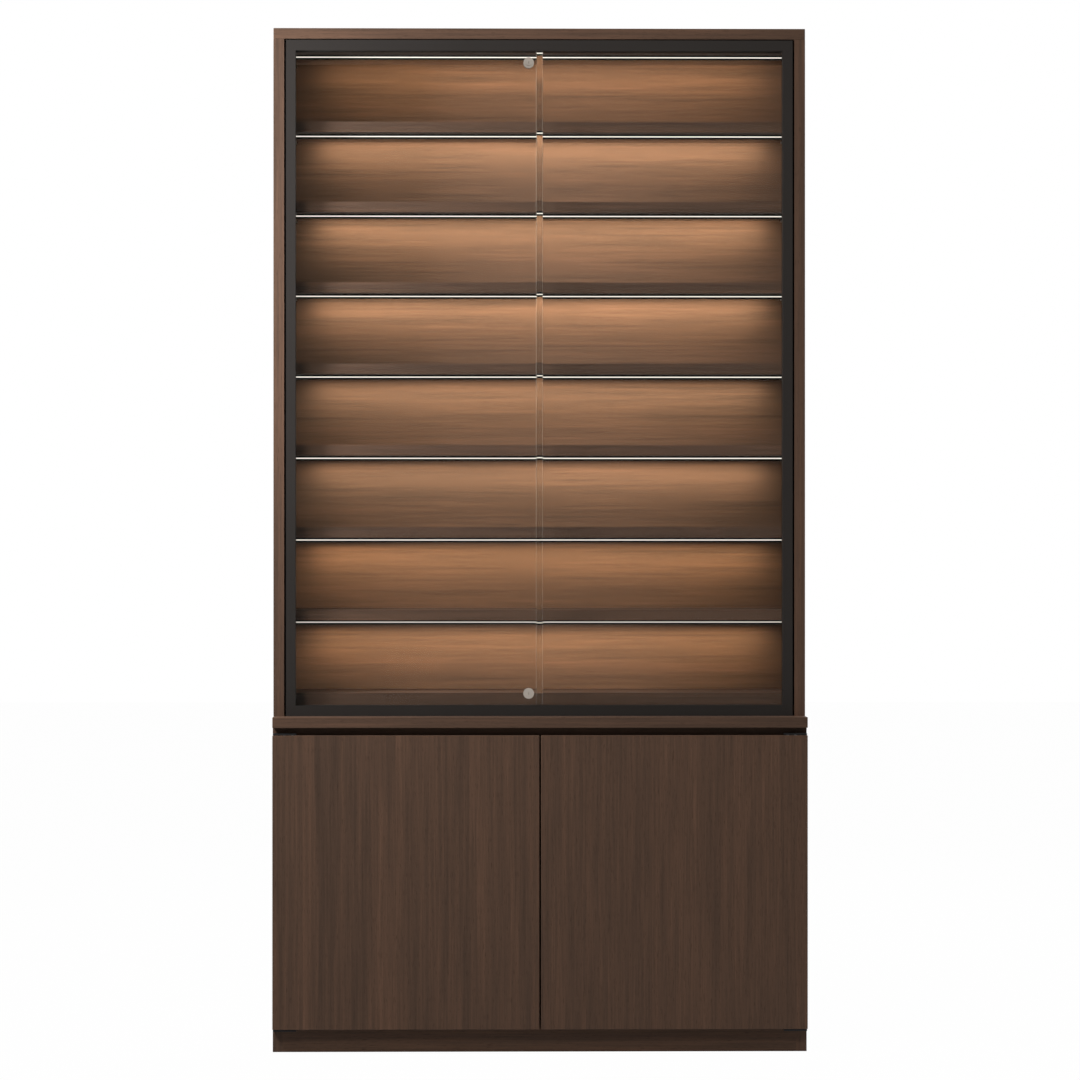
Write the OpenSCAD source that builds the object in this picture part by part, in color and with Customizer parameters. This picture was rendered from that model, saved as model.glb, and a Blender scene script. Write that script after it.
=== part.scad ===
// Floor-standing display case: a glazed upper case with sliding panes, push
// locks and a light bar over each compartment, above a ledge and a cupboard
// with two handleless doors on knife hinges.
// Millimetres. +Z up, the doors face -Y, origin on the floor under the middle.

/* [Case] */
// Overall width of the case
case_w = 1000; // [700:10:1400]
// Overall depth, from the door faces to the rear edges
case_d = 300; // [240:5:450]
// Overall height
case_h = 1920; // [1500:10:2200]
// Thickness of the carcass boards and shelves
board_t = 20; // [15:1:25]
// Thickness of the back panels
back_t = 12; // [6:1:15]
// Depth of the recess behind the back panels
back_recess = 8; // [6:1:20]
// Width of the small chamfer on exposed edges
arris = 0.8; // [0.3:0.1:1.5]

/* [Ledge] */
// Thickness of the ledge board between the cupboard and the upper case
ledge_t = 20; // [15:1:30]
// How far the upper case stands back from the front of the ledge
ledge_reveal = 52; // [35:1:70]

/* [Cupboard] */
// Height of the plinth up to the underside of the doors
plinth_h = 44; // [38:1:90]
// Height of the doors
door_h = 549; // [400:1:650]
// Thickness of the doors
door_t = 20; // [16:1:24]
// Finger gap between the doors and the ledge
finger_gap = 14; // [12:1:20]
// Gap between the two doors
door_gap = 3; // [2:0.5:5]
// Air between the back of the doors and the carcass
door_air = 2; // [2:0.5:4]
// Height of the rails under the ledge
rail_h = 60; // [50:5:90]
// Height of the loose cupboard shelf above the cupboard floor
cupboard_shelf_rise = 262; // [200:1:300]
// Gap between a loose shelf and each side of the case
shelf_play = 0.5; // [0.3:0.1:1]

/* [Knife hinges] */
// Thickness of the hinge plates and leaves
plate_t = 2.5; // [2:0.5:3]
// Distance of the pin from the outer edge of the door
pin_edge = 6; // [5.5:0.5:6.5]
// Distance of the pin from the front face of the door
pin_face = 8; // [7.5:0.5:8.5]
// Radius of the pin
pin_r = 2.5; // [2:0.1:3]
// Running clearance around the pin
pin_clear = 0.05; // [0.02:0.01:0.1]
// Length of the pin
pin_len = 8; // [6:0.5:12]
// Length of the hinge plates and leaves along the door
leaf_len = 44; // [35:1:60]
// Width of the hinge leaves
leaf_w = 12; // [10:0.5:14]
// Gap between the door and the hinge plates
plate_gap = 1; // [0.8:0.1:1.5]

/* [Aluminium frame] */
// Face width of the two stiles
stile_w = 18; // [16:1:24]
// Face height of the two tracks
track_h = 20; // [18:1:26]
// Shadow gap between the stiles and the case sides
side_gap = 3.5; // [2:0.5:6]
// Shadow gap over the top track
top_gap = 2; // [1:0.5:5]
// Thickness of the front and rear walls of the tracks
track_wall = 4; // [3:0.5:6]
// Depth of the grooves in the bottom track
low_groove = 11; // [9:0.5:13]
// Depth of the grooves in the top track
high_groove = 16; // [14:0.5:17]
// Thickness of the fixing flange at the rear of the frame
flange_t = 4; // [2:0.5:6]

/* [Glass panes] */
// Thickness of the glass
glass_t = 5; // [4:1:6]
// Gap between the front pane and the rear pane
pane_gap = 9; // [8.5:0.5:12]
// Play of a pane in its groove, on each side
pane_play = 0.5; // [0.3:0.1:1]
// Overlap of the two closed panes
pane_overlap = 11.3; // [8:0.1:20]
// How far a pane reaches into a stile
stile_bite = 8; // [6:0.5:10]
// How far a pane reaches into the top track
top_bite = 5; // [4:0.5:6]
// Height of the nylon glides under a pane
glide_h = 2; // [1.5:0.5:3]
// Length of a glide
glide_len = 40; // [25:5:60]
// Distance of a glide from the end of its pane
glide_inset = 60; // [30:5:120]
// Running clearance under the glides
glide_clear = 0.3; // [0.2:0.1:0.5]

/* [Push locks] */
// Radius of the lock collar on the face of the front pane
collar_r = 10; // [9:0.5:14]
// Thickness of the collar
collar_t = 5; // [3:0.5:8]
// Radius of the barrel through the glass
barrel_r = 7; // [6.5:0.5:8]
// Play of the barrel in the glass
barrel_play = 0.3; // [0.2:0.1:0.6]
// Thickness of the nut behind the glass
nut_t = 3; // [2:0.5:3.5]
// Radius of the plunger
plunger_r = 5; // [4:0.5:5.5]
// Running clearance around the plunger
plunger_clear = 0.08; // [0.03:0.01:0.1]
// Push travel of the plunger
plunger_travel = 4; // [2:0.5:4]
// Distance of the lock from the free edge of the front pane
lock_edge = 26; // [20:1:40]
// Distance of the lock from the tracks
lock_inset = 22.5; // [18:0.5:40]

/* [Shelves] */
// Number of shelves in the upper case
shelf_count = 7; // [3:1:7]
// How far the shelves stand back from the front of the upper case
shelf_setback = 45; // [40:1:70]
// Height of the upper case floor above the ledge
floor_raise = 22; // [18:1:40]
// How much taller each compartment is than the one above it
grade = 0.95; // [0:0.05:3]
// Radius of the shelf pins
shelf_pin_r = 2.5; // [2:0.5:3]
// Length of the shelf pins
shelf_pin_len = 16; // [12:1:18]
// Distance of the shelf pins from the shelf edges
shelf_pin_inset = 30; // [25:1:40]

/* [Light bars] */
// Depth of a light bar, front to back
bar_d = 16; // [14:1:22]
// Height of a light bar
bar_h = 9; // [8:0.5:12]
// Wall thickness of the bar profile
bar_wall = 1.5; // [1:0.25:2]
// How far a light bar stands back from the shelf edge
bar_setback = 35; // [25:1:60]
// Top of the light slit below the shelf
slit_top = 3.3; // [3:0.1:4]
// Height of the light slit
slit_h = 2.2; // [1.5:0.1:3]
// Depth of the lip under the slit
lip_d = 4; // [3:0.5:5]
// Thickness of the light strip
strip_t = 1.2; // [0.8:0.1:1.4]
// Width of the lead from a light strip
lead_w = 4; // [3:0.5:6]

/* [Power] */
// Width of the wire duct on the rear of the case
duct_w = 20; // [16:1:24]
// Length of the light driver
driver_len = 180; // [120:5:240]
// Height of the light driver
driver_h = 36; // [26:1:44]
// Depth of the light driver
driver_d = 22; // [18:1:30]
// Radius of the hole of the cable grommet
grommet_r = 25; // [18:1:30]
// Height of the cable grommet above the cupboard floor
grommet_rise = 70; // [50:5:150]
// Distance of the cable grommet and the driver from the side of the case
power_inset = 170; // [160:10:300]
// Distance between the two wall screw holes
wall_hole_span = 700; // [400:10:800]
// Radius of the wall screw holes
wall_hole_r = 3; // [2:0.5:4]

/* [Hidden] */
$fn = 48;
eps = 0.01;
compartments = shelf_count + 1;
half_w = case_w / 2;
inner_x = half_w - board_t;

// Planes from the front to the rear
front_y = -case_d / 2;
rear_y = case_d / 2;
door_back_y = front_y + door_t;
carcass_y = door_back_y + door_air;
upper_y = front_y + ledge_reveal;
back_rear_y = rear_y - back_recess;
back_y = back_rear_y - back_t;
shelf_y = upper_y + shelf_setback;

// Levels from the floor up
door_top = plinth_h + door_h;
cupboard_floor_z = plinth_h - plate_gap;
ledge_z = door_top + finger_gap;
upper_z = ledge_z + ledge_t;
rail_z = ledge_z - rail_h;
top_z = case_h - board_t;
lining_z = top_z - board_t;
floor_z = upper_z + floor_raise;
cupboard_shelf_z = cupboard_floor_z + board_t + cupboard_shelf_rise;

// Underside of panel k: 0 is the floor, compartments is the top lining
mean_pitch = (lining_z - floor_z) / compartments;
function panel_z(k) = floor_z + mean_pitch * k + grade * k * (compartments - k) / 2;
// Shelf 1 is the highest one, light bar 1 hangs under the top lining
function shelf_z(i) = panel_z(compartments - i);
function bar_z(i) = panel_z(compartments + 1 - i);

// Aluminium frame
frame_x = inner_x - side_gap;
opening_x = frame_x - stile_w;
frame_top = top_z - top_gap;
opening_low = upper_z + track_h;
opening_high = frame_top - track_h;
front_pane_y = upper_y + track_wall + pane_play;
rear_pane_y = front_pane_y + glass_t + pane_gap;
frame_d = rear_pane_y + glass_t + pane_play + track_wall - upper_y;
frame_rear_y = upper_y + frame_d;
flange_y = frame_rear_y - flange_t;

// Glass panes
pane_end = opening_x + stile_bite;
pane_w = pane_end + pane_overlap / 2;
groove_floor = opening_low - low_groove;
pane_low = groove_floor + glide_clear + glide_h;
pane_high = opening_high + top_bite;

// Push locks
lock_x = pane_overlap / 2 - lock_edge;
lock_low_z = opening_low + lock_inset;
lock_high_z = opening_high - lock_inset;
collar_y = front_pane_y - collar_t;
nut_rear_y = front_pane_y + glass_t + nut_t;
plunger_tail = 0.8;
key_slot = [6, 1.2, 1];

// Light bars and their wiring
bar_y = shelf_y + bar_setback;
bar_x = inner_x - 1;
cap_t = 2;
strip_margin = 2;
rear_wall_h = 0.7 * bar_h;
diffuser_play = 0.1;
lead_x = -inner_x + shelf_pin_len / 2 + strip_margin + lead_w;
lead_hole_r = 3.5;
duct_x = -inner_x + 0.5;
duct_wall = 1.5;
feed_r = 3;
feed_hole_r = 5;
rail_mid_z = ledge_z - rail_h / 2;
feed_x = duct_x + duct_w / 2;
plug_half = 6;
duct_tail = 15;
duct_head = 6;
duct_low = rail_mid_z - duct_tail;
duct_high = lining_z + duct_head;
power_x = -half_w + power_inset;
ear_len = 12;
ear_t = 3;
ear_hole_r = 2;
gland_len = 10;
gland_r = 5;
grommet_wall = 3;
grommet_flange = 5;
grommet_rim = 2;
grommet_z = cupboard_floor_z + board_t + grommet_rise + grommet_r;

walnut = "#5a4336";
walnut_pale = "#6b5040";
charcoal = "#3b3937";
steel = "#a9a39b";
pane_tint = [0.85, 0.92, 0.9, 0.25];

// A board between two opposite corners
module board(low, high) {
    translate(low) cube(high - low);
}

// A rectangle with chamfered corners
module eased_rect(low, high) {
    polygon([
        [low.x + arris, low.y], [high.x - arris, low.y],
        [high.x, low.y + arris], [high.x, high.y - arris],
        [high.x - arris, high.y], [low.x + arris, high.y],
        [low.x, high.y - arris], [low.x, low.y + arris]]);
}

// A board whose twelve edges are chamfered
module eased_board(low, high) {
    intersection() {
        translate([0, 0, low.z]) linear_extrude(high.z - low.z)
            eased_rect([low.x, low.y], [high.x, high.y]);
        translate([low.x, 0, 0]) rotate([90, 0, 90]) linear_extrude(high.x - low.x)
            eased_rect([low.y, low.z], [high.y, high.z]);
        translate([0, high.y, 0]) rotate([90, 0, 0]) linear_extrude(high.y - low.y)
            eased_rect([low.x, low.z], [high.x, high.z]);
    }
}

// A cylinder along +Y
module rod_y(r, from, to) {
    translate([0, from, 0]) rotate([-90, 0, 0]) cylinder(r = r, h = to - from);
}

// ---------- cupboard ----------

module base_side(side) {
    color(walnut)
    difference() {
        board([min(side * inner_x, side * half_w), carcass_y, 0],
              [max(side * inner_x, side * half_w), rear_y, ledge_z]);
        at_cupboard_pins() shelf_pin();
    }
}

module base_side_left() base_side(-1);
module base_side_right() base_side(1);

module base_bottom() {
    color(walnut)
    board([-inner_x, carcass_y, cupboard_floor_z],
          [inner_x, back_y, cupboard_floor_z + board_t]);
}

module base_back() {
    color(walnut)
    difference() {
        board([-inner_x, back_y, cupboard_floor_z], [inner_x, back_rear_y, ledge_z]);
        at_wall_holes() rod_y(wall_hole_r, back_y - eps, back_rear_y + eps);
        translate([feed_x, 0, rail_mid_z]) rod_y(feed_hole_r, back_y - eps, back_rear_y + eps);
        at_grommet() rod_y(grommet_r + grommet_wall, back_y - eps, back_rear_y + eps);
    }
}

module at_wall_holes() {
    for (side = [-1, 1])
        translate([side * wall_hole_span / 2, 0, rail_mid_z]) children();
}

module at_grommet() {
    translate([power_x, 0, grommet_z]) children();
}

module base_front_rail() {
    color(walnut)
    difference() {
        board([-inner_x, carcass_y, rail_z], [inner_x, carcass_y + board_t, ledge_z]);
        for (side = [-1, 1]) hinge_tail(side, door_top + plate_gap);
    }
}

module base_rear_rail() {
    color(walnut)
    difference() {
        board([-inner_x, back_y - board_t, rail_z], [inner_x, back_y, ledge_z]);
        at_wall_holes() rod_y(wall_hole_r, back_y - board_t - eps, back_y + eps);
        translate([feed_x, 0, rail_mid_z]) rod_y(feed_hole_r, back_y - board_t - eps, back_y + eps);
    }
}

module base_shelf() {
    color(walnut)
    eased_board([-inner_x + shelf_play, carcass_y + board_t, cupboard_shelf_z],
                [inner_x - shelf_play, back_y, cupboard_shelf_z + board_t]);
}

module plinth() {
    color(walnut)
    difference() {
        board([-inner_x, carcass_y, 0], [inner_x, carcass_y + board_t, cupboard_floor_z]);
        for (side = [-1, 1]) hinge_tail(side, cupboard_floor_z - plate_t);
    }
}

module ledge() {
    color(walnut_pale)
    difference() {
        eased_board([-half_w, front_y, ledge_z], [half_w, rear_y, upper_z]);
        board([duct_x - 0.5, back_rear_y, ledge_z - eps],
              [duct_x + duct_w + 0.5, rear_y + eps, upper_z + eps]);
    }
}

// ---------- knife hinges ----------

pin_x = half_w - pin_edge;
pin_y = front_y + pin_face;
leaf_out_x = half_w - 1;
leaf_in_x = half_w - leaf_len;

// The part of a hinge plate that is let into the carcass
module hinge_tail(side, z) {
    board([min(side * leaf_in_x, side * inner_x), carcass_y - eps, z],
          [max(side * leaf_in_x, side * inner_x), carcass_y + board_t, z + plate_t]);
}

// A cranked plate with its pin; up is 1 for the lower hinge and -1 for the upper
module hinge_plate(side, z, up) {
    face = up > 0 ? z + plate_t : z;
    boss_h = plate_gap - 0.3;
    board([min(side * leaf_in_x, side * inner_x), carcass_y, z],
          [max(side * leaf_in_x, side * inner_x), carcass_y + board_t, z + plate_t]);
    board([min(side * leaf_in_x, side * leaf_out_x), pin_y - leaf_w / 2, z],
          [max(side * leaf_in_x, side * leaf_out_x), carcass_y, z + plate_t]);
    translate([side * pin_x, pin_y, face]) mirror([0, 0, up > 0 ? 0 : 1]) {
        cylinder(r = 2 * pin_r, h = boss_h);
        cylinder(r = pin_r, h = plate_gap + pin_len);
    }
}

module hinge_plates() {
    color(charcoal)
    for (side = [-1, 1]) {
        hinge_plate(side, cupboard_floor_z - plate_t, 1);
        hinge_plate(side, door_top + plate_gap, -1);
    }
}

// The outline of a leaf between two levels
module leaf_block(side, low, high) {
    board([min(side * leaf_in_x, side * leaf_out_x), pin_y - leaf_w / 2, low],
          [max(side * leaf_in_x, side * leaf_out_x), pin_y + leaf_w / 2, high]);
}

// A leaf let into the end of a door, from level z upwards
module hinge_leaf(side, z) {
    difference() {
        leaf_block(side, z, z + plate_t);
        translate([side * pin_x, pin_y, z - eps])
            cylinder(r = pin_r + pin_clear, h = plate_t + 2 * eps);
    }
}

module hinge_leaves(side) {
    color(charcoal) {
        hinge_leaf(side, plinth_h);
        hinge_leaf(side, door_top - plate_t);
    }
}

module hinge_leaves_left() hinge_leaves(-1);
module hinge_leaves_right() hinge_leaves(1);

module base_door(side) {
    pin_hole_r = pin_r + 0.4;
    pin_hole_h = pin_len + 1;
    color(walnut)
    difference() {
        eased_board([min(side * door_gap / 2, side * half_w), front_y, plinth_h],
                    [max(side * door_gap / 2, side * half_w), door_back_y, door_top]);
        leaf_block(side, plinth_h - eps, plinth_h + plate_t);
        leaf_block(side, door_top - plate_t, door_top + eps);
        for (z = [plinth_h - eps, door_top + eps - pin_hole_h])
            translate([side * pin_x, pin_y, z]) cylinder(r = pin_hole_r, h = pin_hole_h);
    }
}

module base_door_left() base_door(-1);
module base_door_right() base_door(1);

// ---------- upper case ----------

module upper_side(side) {
    color(walnut_pale)
    difference() {
        board([min(side * inner_x, side * half_w), upper_y, upper_z],
              [max(side * inner_x, side * half_w), rear_y, top_z]);
        at_case_pins() shelf_pin();
    }
}

module upper_side_left() upper_side(-1);
module upper_side_right() upper_side(1);

module upper_top() {
    color(walnut_pale)
    eased_board([-half_w, upper_y, top_z], [half_w, rear_y, case_h]);
}

module upper_top_lining() {
    color(walnut_pale)
    board([-inner_x, shelf_y, lining_z], [inner_x, back_y, top_z]);
}

module upper_bottom() {
    color(walnut_pale)
    board([-inner_x, shelf_y, floor_z], [inner_x, back_y, floor_z + board_t]);
}

module upper_back() {
    color(walnut_pale)
    difference() {
        board([-inner_x, back_y, upper_z], [inner_x, back_rear_y, top_z]);
        for (i = [1:compartments])
            translate([lead_x, 0, bar_z(i) - bar_wall - strip_t / 2])
                rod_y(lead_hole_r, back_y - eps, back_rear_y + eps);
    }
}

module shelf(i) {
    color(walnut_pale)
    board([-inner_x + shelf_play, shelf_y, shelf_z(i)],
          [inner_x - shelf_play, back_y, shelf_z(i) + board_t]);
}

// Four pin places under each shelf of the upper case
module at_case_pins() {
    for (side = [-1, 1], i = [1:shelf_count],
         y = [shelf_y + shelf_pin_inset / 2, back_y - shelf_pin_inset])
        translate([side * inner_x, y, shelf_z(i) - shelf_pin_r]) children();
}

// Four pin places under the cupboard shelf
module at_cupboard_pins() {
    for (side = [-1, 1],
         y = [carcass_y + board_t + shelf_pin_inset, back_y - shelf_pin_inset])
        translate([side * inner_x, y, cupboard_shelf_z - shelf_pin_r]) children();
}

// A pin along X, half in the side and half under the shelf
module shelf_pin() {
    rotate([0, 90, 0]) cylinder(r = shelf_pin_r, h = shelf_pin_len, center = true);
}

module shelf_pins() {
    color(steel) {
        at_case_pins() shelf_pin();
        at_cupboard_pins() shelf_pin();
    }
}

// ---------- aluminium frame ----------

// Section of a track or stile in depth and height, with two grooves from the top
module grooved_section(height, groove) {
    groove_w = glass_t + 2 * pane_play;
    difference() {
        square([frame_d, height]);
        for (y = [track_wall, frame_d - track_wall - groove_w])
            translate([y, height - groove]) square([groove_w, groove + eps]);
    }
}

module frame_bottom_track() {
    color(charcoal)
    translate([-frame_x, upper_y, upper_z]) rotate([90, 0, 90])
        linear_extrude(2 * frame_x) grooved_section(track_h, low_groove);
}

module frame_top_track() {
    color(charcoal)
    union() {
        translate([-frame_x, upper_y, frame_top]) rotate([90, 0, 90])
            linear_extrude(2 * frame_x) mirror([0, 1]) grooved_section(track_h, high_groove);
        board([-inner_x, flange_y, frame_top - eps], [inner_x, frame_rear_y, top_z]);
    }
}

module frame_stile(side) {
    color(charcoal)
    mirror([side > 0 ? 0 : 1, 0, 0]) {
        translate([frame_x, upper_y, opening_low]) rotate([0, 0, 90])
            linear_extrude(opening_high - opening_low)
            grooved_section(stile_w, stile_bite + 1);
        board([frame_x - eps, flange_y, opening_low], [inner_x, frame_rear_y, opening_high]);
    }
}

module frame_stile_left() frame_stile(-1);
module frame_stile_right() frame_stile(1);

// ---------- glass panes ----------

module glass_left() {
    color(pane_tint)
    difference() {
        board([-pane_end, front_pane_y, pane_low],
              [pane_w - pane_end, front_pane_y + glass_t, pane_high]);
        for (z = [lock_low_z, lock_high_z])
            translate([lock_x, 0, z])
                rod_y(barrel_r + barrel_play, front_pane_y - eps, front_pane_y + glass_t + eps);
    }
}

module glass_right() {
    color(pane_tint)
    board([pane_end - pane_w, rear_pane_y, pane_low],
          [pane_end, rear_pane_y + glass_t, pane_high]);
}

module glides(x, y) {
    color("#e8e4da")
    for (start = [x + glide_inset, x + pane_w - glide_inset - glide_len])
        board([start, y, pane_low - glide_h], [start + glide_len, y + glass_t, pane_low]);
}

module glides_left() glides(-pane_end, front_pane_y);
module glides_right() glides(pane_end - pane_w, rear_pane_y);

// ---------- push locks ----------

module lock_body(z) {
    color(steel)
    translate([lock_x, 0, z]) difference() {
        union() {
            rod_y(collar_r, collar_y, front_pane_y);
            rod_y(barrel_r, collar_y, nut_rear_y);
            rod_y(collar_r, nut_rear_y - nut_t, nut_rear_y);
        }
        rod_y(plunger_r + plunger_clear, collar_y - eps, nut_rear_y + eps);
    }
}

module lock_plunger(z) {
    plunger_y = collar_y - plunger_travel - 0.5;
    color(steel)
    translate([lock_x, 0, z]) difference() {
        rod_y(plunger_r, plunger_y, nut_rear_y + plunger_tail);
        translate([-key_slot.x / 2, plunger_y - eps, -key_slot.y / 2])
            cube([key_slot.x, key_slot.z, key_slot.y]);
    }
}

module lock_body_top() lock_body(lock_high_z);
module lock_body_bottom() lock_body(lock_low_z);
module lock_plunger_top() lock_plunger(lock_high_z);
module lock_plunger_bottom() lock_plunger(lock_low_z);

// ---------- light bars ----------

// Sections are drawn in depth from the front and in height from the shelf down
module profile_section() {
    translate([0, -bar_wall]) square([bar_d, bar_wall]);
    translate([0, -slit_top]) square([bar_wall, slit_top]);
    translate([bar_d - bar_wall, -rear_wall_h]) square([bar_wall, rear_wall_h]);
    translate([0, -bar_h]) square([lip_d, bar_h - slit_top - slit_h]);
}

module diffuser_section() {
    top = -slit_top - diffuser_play;
    low = -slit_top - slit_h + diffuser_play;
    polygon([
        [0.3, top], [0.3, low],
        [lip_d + diffuser_play, low], [lip_d + diffuser_play, -bar_h + 0.5],
        [bar_d - bar_wall - diffuser_play, -rear_wall_h + 0.3],
        [bar_d - bar_wall - diffuser_play, top]]);
}

// Places a bar section along X, from one end to the other, under panel i
module along_bar(i, low_x, high_x) {
    translate([low_x, bar_y, bar_z(i)]) rotate([90, 0, 90])
        linear_extrude(high_x - low_x) children();
}

module led_profile(i) {
    color(charcoal)
    difference() {
        union() {
            along_bar(i, -bar_x, bar_x) profile_section();
            along_bar(i, -bar_x, -bar_x + cap_t) translate([0, -bar_h]) square([bar_d, bar_h]);
            along_bar(i, bar_x - cap_t, bar_x) translate([0, -bar_h]) square([bar_d, bar_h]);
        }
        lead(i, 0.3);
    }
}

module led_diffuser(i) {
    color("white")
    along_bar(i, -bar_x + cap_t + diffuser_play, bar_x - cap_t - diffuser_play) diffuser_section();
}

// The flat lead of strip i, from its bar to the duct
module lead(i, play) {
    z = bar_z(i) - bar_wall;
    board([lead_x - lead_w / 2 - play, bar_y + bar_d / 2, z - strip_t - play],
          [lead_x + lead_w / 2 + play, back_rear_y + back_recess / 2, z + min(0, play)]);
}

module led_strips() {
    color("#f4ead0")
    for (i = [1:compartments]) union() {
        z = bar_z(i) - bar_wall;
        board([lead_x - lead_w / 2, bar_y + bar_wall + strip_margin / 2, z - strip_t],
              [bar_x - cap_t - strip_margin, bar_y + bar_d - bar_wall - strip_margin / 2, z]);
        lead(i, 0);
    }
}

// ---------- power ----------

module wire_duct() {
    color(charcoal)
    difference() {
        board([duct_x, back_rear_y, duct_low], [duct_x + duct_w, rear_y, duct_high]);
        board([duct_x + duct_wall, back_rear_y - eps, duct_low + duct_wall],
              [duct_x + duct_w - duct_wall, rear_y - duct_wall, duct_high - duct_wall]);
    }
}

// Driver box on a plate with two fixing ears, a gland at each end and the feed to the duct
module led_driver() {
    rail_y = back_y - board_t;
    half_l = driver_len / 2;
    half_h = driver_h / 2;
    ear_x = half_l + ear_len;
    gland_y = rail_y - driver_d / 2;
    color("#d9d7d2")
    translate([power_x, 0, rail_mid_z]) difference() {
        union() {
            eased_board([-half_l, rail_y - driver_d, -half_h], [half_l, rail_y, half_h]);
            board([-ear_x, rail_y - ear_t, -half_h / 2], [ear_x, rail_y, half_h / 2]);
            translate([0, gland_y, 0]) rotate([0, 90, 0])
                cylinder(r = gland_r, h = 2 * (half_l + gland_len), center = true);
        }
        for (side = [-1, 1]) translate([side * (half_l + ear_len / 2), 0, 0])
            rod_y(ear_hole_r, rail_y - ear_t - eps, rail_y + eps);
    }
    color("#d9d7d2") feed(gland_y, rail_y);
}

// The feed runs along -X out of the driver to a corner plug, then along +Y into the duct
module feed(y, rail_y) {
    translate([feed_x, y, rail_mid_z]) rotate([0, 90, 0])
        cylinder(r = feed_r, h = power_x - feed_x);
    board([feed_x - plug_half, y - plug_half, rail_mid_z - plug_half],
          [feed_x + plug_half, rail_y, rail_mid_z + plug_half]);
    translate([feed_x, 0, rail_mid_z]) rod_y(feed_r, y, back_rear_y + back_recess / 2);
}

module cable_grommet() {
    color(charcoal)
    at_grommet() difference() {
        union() {
            rod_y(grommet_r + grommet_wall, back_y, back_rear_y);
            rod_y(grommet_r + grommet_wall + grommet_flange, back_rear_y,
                  back_rear_y + grommet_rim);
        }
        rod_y(grommet_r, back_y - eps, back_rear_y + grommet_rim + eps);
    }
}

base_side_left();
base_side_right();
base_bottom();
base_back();
base_front_rail();
base_rear_rail();
base_shelf();
plinth();
ledge();
upper_side_left();
upper_side_right();
upper_top();
upper_top_lining();
upper_bottom();
upper_back();
shelf_pins();
frame_top_track();
frame_bottom_track();
frame_stile_left();
frame_stile_right();
led_driver();
cable_grommet();
wire_duct();
led_strips();
hinge_plates();
base_door_left();
base_door_right();
hinge_leaves_left();
hinge_leaves_right();
glass_left();
glass_right();
glides_left();
glides_right();
lock_body_top();
lock_body_bottom();
lock_plunger_top();
lock_plunger_bottom();
for (i = [1:shelf_count])
    shelf(i);
for (i = [1:compartments])
    led_profile(i);
for (i = [1:compartments])
    led_diffuser(i);
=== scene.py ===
"""Looks of a floor-standing walnut display case with sliding panes and light bars."""
import math

import bmesh
import bpy
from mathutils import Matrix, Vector


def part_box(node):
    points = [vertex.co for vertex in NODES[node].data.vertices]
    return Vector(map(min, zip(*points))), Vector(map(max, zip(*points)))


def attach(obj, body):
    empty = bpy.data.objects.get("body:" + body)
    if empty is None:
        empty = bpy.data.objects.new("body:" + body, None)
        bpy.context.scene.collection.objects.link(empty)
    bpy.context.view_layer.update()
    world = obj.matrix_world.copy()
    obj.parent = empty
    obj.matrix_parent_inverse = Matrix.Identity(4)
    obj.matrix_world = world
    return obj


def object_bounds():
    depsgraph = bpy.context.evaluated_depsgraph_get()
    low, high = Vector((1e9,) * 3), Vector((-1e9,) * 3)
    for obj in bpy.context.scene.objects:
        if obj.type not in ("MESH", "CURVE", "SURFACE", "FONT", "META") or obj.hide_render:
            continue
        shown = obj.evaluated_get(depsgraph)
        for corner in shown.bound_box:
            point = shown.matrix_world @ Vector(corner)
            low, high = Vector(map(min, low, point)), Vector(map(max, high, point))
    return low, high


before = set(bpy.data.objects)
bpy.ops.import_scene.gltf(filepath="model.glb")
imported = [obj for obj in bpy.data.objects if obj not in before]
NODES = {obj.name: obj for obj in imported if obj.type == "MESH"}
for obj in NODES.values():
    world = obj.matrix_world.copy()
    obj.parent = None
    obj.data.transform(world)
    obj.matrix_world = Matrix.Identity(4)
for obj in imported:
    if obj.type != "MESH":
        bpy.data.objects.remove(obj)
CAD_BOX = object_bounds()

# ---------- sizes and names read from the model ---

MM = 0.001
CASE_LOW = CAD_BOX[0]
COMPARTMENTS = sum(name.startswith("led_profile_") for name in NODES)
SHELF_NAMES = [name for name in NODES if name.startswith("shelf_") and name[6:].isdigit()]

# ---------- node trees ----------


class Value:
    """A socket that takes part in ordinary arithmetic."""

    def __init__(self, tree, socket):
        self.tree = tree
        self.socket = socket

    def _with(self, operation, first, second):
        node = self.tree.node("ShaderNodeMath", {"operation": operation}, {0: first, 1: second})
        return Value(self.tree, node.outputs[0])

    def __add__(self, other):
        return self._with("ADD", self, other)

    def __radd__(self, other):
        return self._with("ADD", other, self)

    def __sub__(self, other):
        return self._with("SUBTRACT", self, other)

    def __rsub__(self, other):
        return self._with("SUBTRACT", other, self)

    def __mul__(self, other):
        return self._with("MULTIPLY", self, other)

    def __rmul__(self, other):
        return self._with("MULTIPLY", other, self)

    def __pow__(self, other):
        return self._with("POWER", self, other)

    def above(self, low, high):
        """0 below low, 1 over high, smooth between."""
        node = self.tree.node(
            "ShaderNodeMapRange",
            {"interpolation_type": "SMOOTHSTEP"},
            {"Value": self, "From Min": low, "From Max": high},
        )
        return Value(self.tree, node.outputs[0])


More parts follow.
